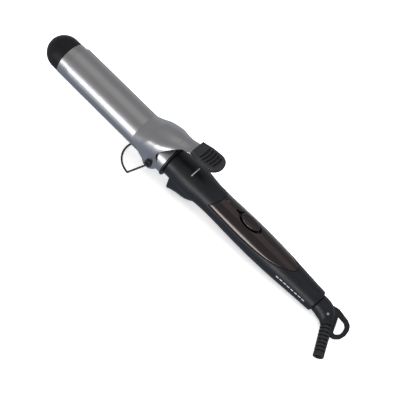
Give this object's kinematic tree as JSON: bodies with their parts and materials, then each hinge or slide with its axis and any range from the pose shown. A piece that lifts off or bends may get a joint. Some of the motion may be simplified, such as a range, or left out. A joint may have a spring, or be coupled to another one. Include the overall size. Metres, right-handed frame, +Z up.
{
  "type": "curling iron",
  "caption": "Curling iron: domed heated barrel with a spring clip and thumb tab, folding wire stand, slim handle with slide switch, swivelling cord elbow with hanging loop.",
  "frame": {"origin": "middle of the bounding box at table height, with the iron lying on its opened wire stand and its handle's end", "axes": "+X from the barrel's tip toward the cord, +Z up away from the table; the cord elbow turns toward -Y"},
  "size_m": [0.3549, 0.0619, 0.0648],
  "materials": {
    "cap_plastic": "satin heat-proof moulding",
    "barrel_metal": "satin titanium-grey coating",
    "ceramic_parts": null,
    "aluminium_parts": "extruded",
    "film_parts": "amber film",
    "lead_red": "heat-proof sleeve",
    "holder_plastic": "heat-proof moulding",
    "body_plastic": "fine matte moulding",
    "black_part": "matte black",
    "clip_metal": "satin titanium-grey coating",
    "tab_plastic": "fine matte moulding",
    "zinc_steel": "zinc plated",
    "black_wire": "black coated wire",
    "panel_paint": "glossy gunmetal paint",
    "lens_clear": "translucent",
    "board_green": "coated board",
    "lead_blue": "sleeve",
    "brass_parts": "bare",
    "pin_light": "light grey moulding",
    "boot_rubber": "matte flexible"
  },
  "bodies": {
    "handle": {"tip_cap": "cap_plastic", "barrel_tube": "barrel_metal", "heater_element": "ceramic_parts", "heat_spreaders": "aluminium_parts", "insulating_film": "film_parts", "thermal_fuse": "ceramic_parts", "heater_leads": "lead_red", "barrel_holder": "holder_plastic", "heat_ring": "body_plastic", "pivot_knobs": "black_part", "handle_body": "body_plastic", "handle_panel": "panel_paint", "panel_screws": "zinc_steel", "switch_bezel": "black_part", "slide_switch": "zinc_steel", "indicator_lens": "lens_clear", "indicator_led": "lens_clear", "circuit_board": "board_green", "power_leads": "lead_blue", "swivel_bush": "holder_plastic", "contact_springs": "brass_parts"},
    "clip": {"clip_plate": "clip_metal", "thumb_tab": "tab_plastic", "tab_rivets": "zinc_steel", "clip_spring": "zinc_steel"},
    "stand": {"wire_stand": "black_wire"},
    "switch": {"switch_button": "panel_paint"},
    "swivel": {"swivel_core": "black_part", "slip_rings": "brass_parts", "cord_elbow": "body_plastic", "elbow_pin": "pin_light", "cord_boot": "boot_rubber"}
  },
  "joints": [
    {"name": "clip_hinge", "type": "hinge", "parent": "handle", "child": "clip", "pos_m": [-0.0408, 0.00761, 0.02767], "axis": [0, 1, 0], "range_deg": [0, 22], "stiffness_Nm_per_rad": 0.3, "springref_deg": -28.65, "deforming": ["clip_spring"]},
    {"name": "stand_hinge", "type": "hinge", "parent": "handle", "child": "stand", "pos_m": [-0.0408, 0.00761, 0.02767], "axis": [0, -1, 0], "range_deg": [0, 112.5]},
    {"name": "switch_slide", "type": "slide", "parent": "handle", "child": "switch", "axis": [-0.9942, 0, 0.1071], "range_m": [-0.002, 0.002]},
    {"name": "cord_swivel", "type": "hinge", "parent": "handle", "child": "swivel", "pos_m": [0.14066, 0.00761, 0.01013], "axis": [0.9942, 0, -0.1071], "continuous": true}
  ]
}
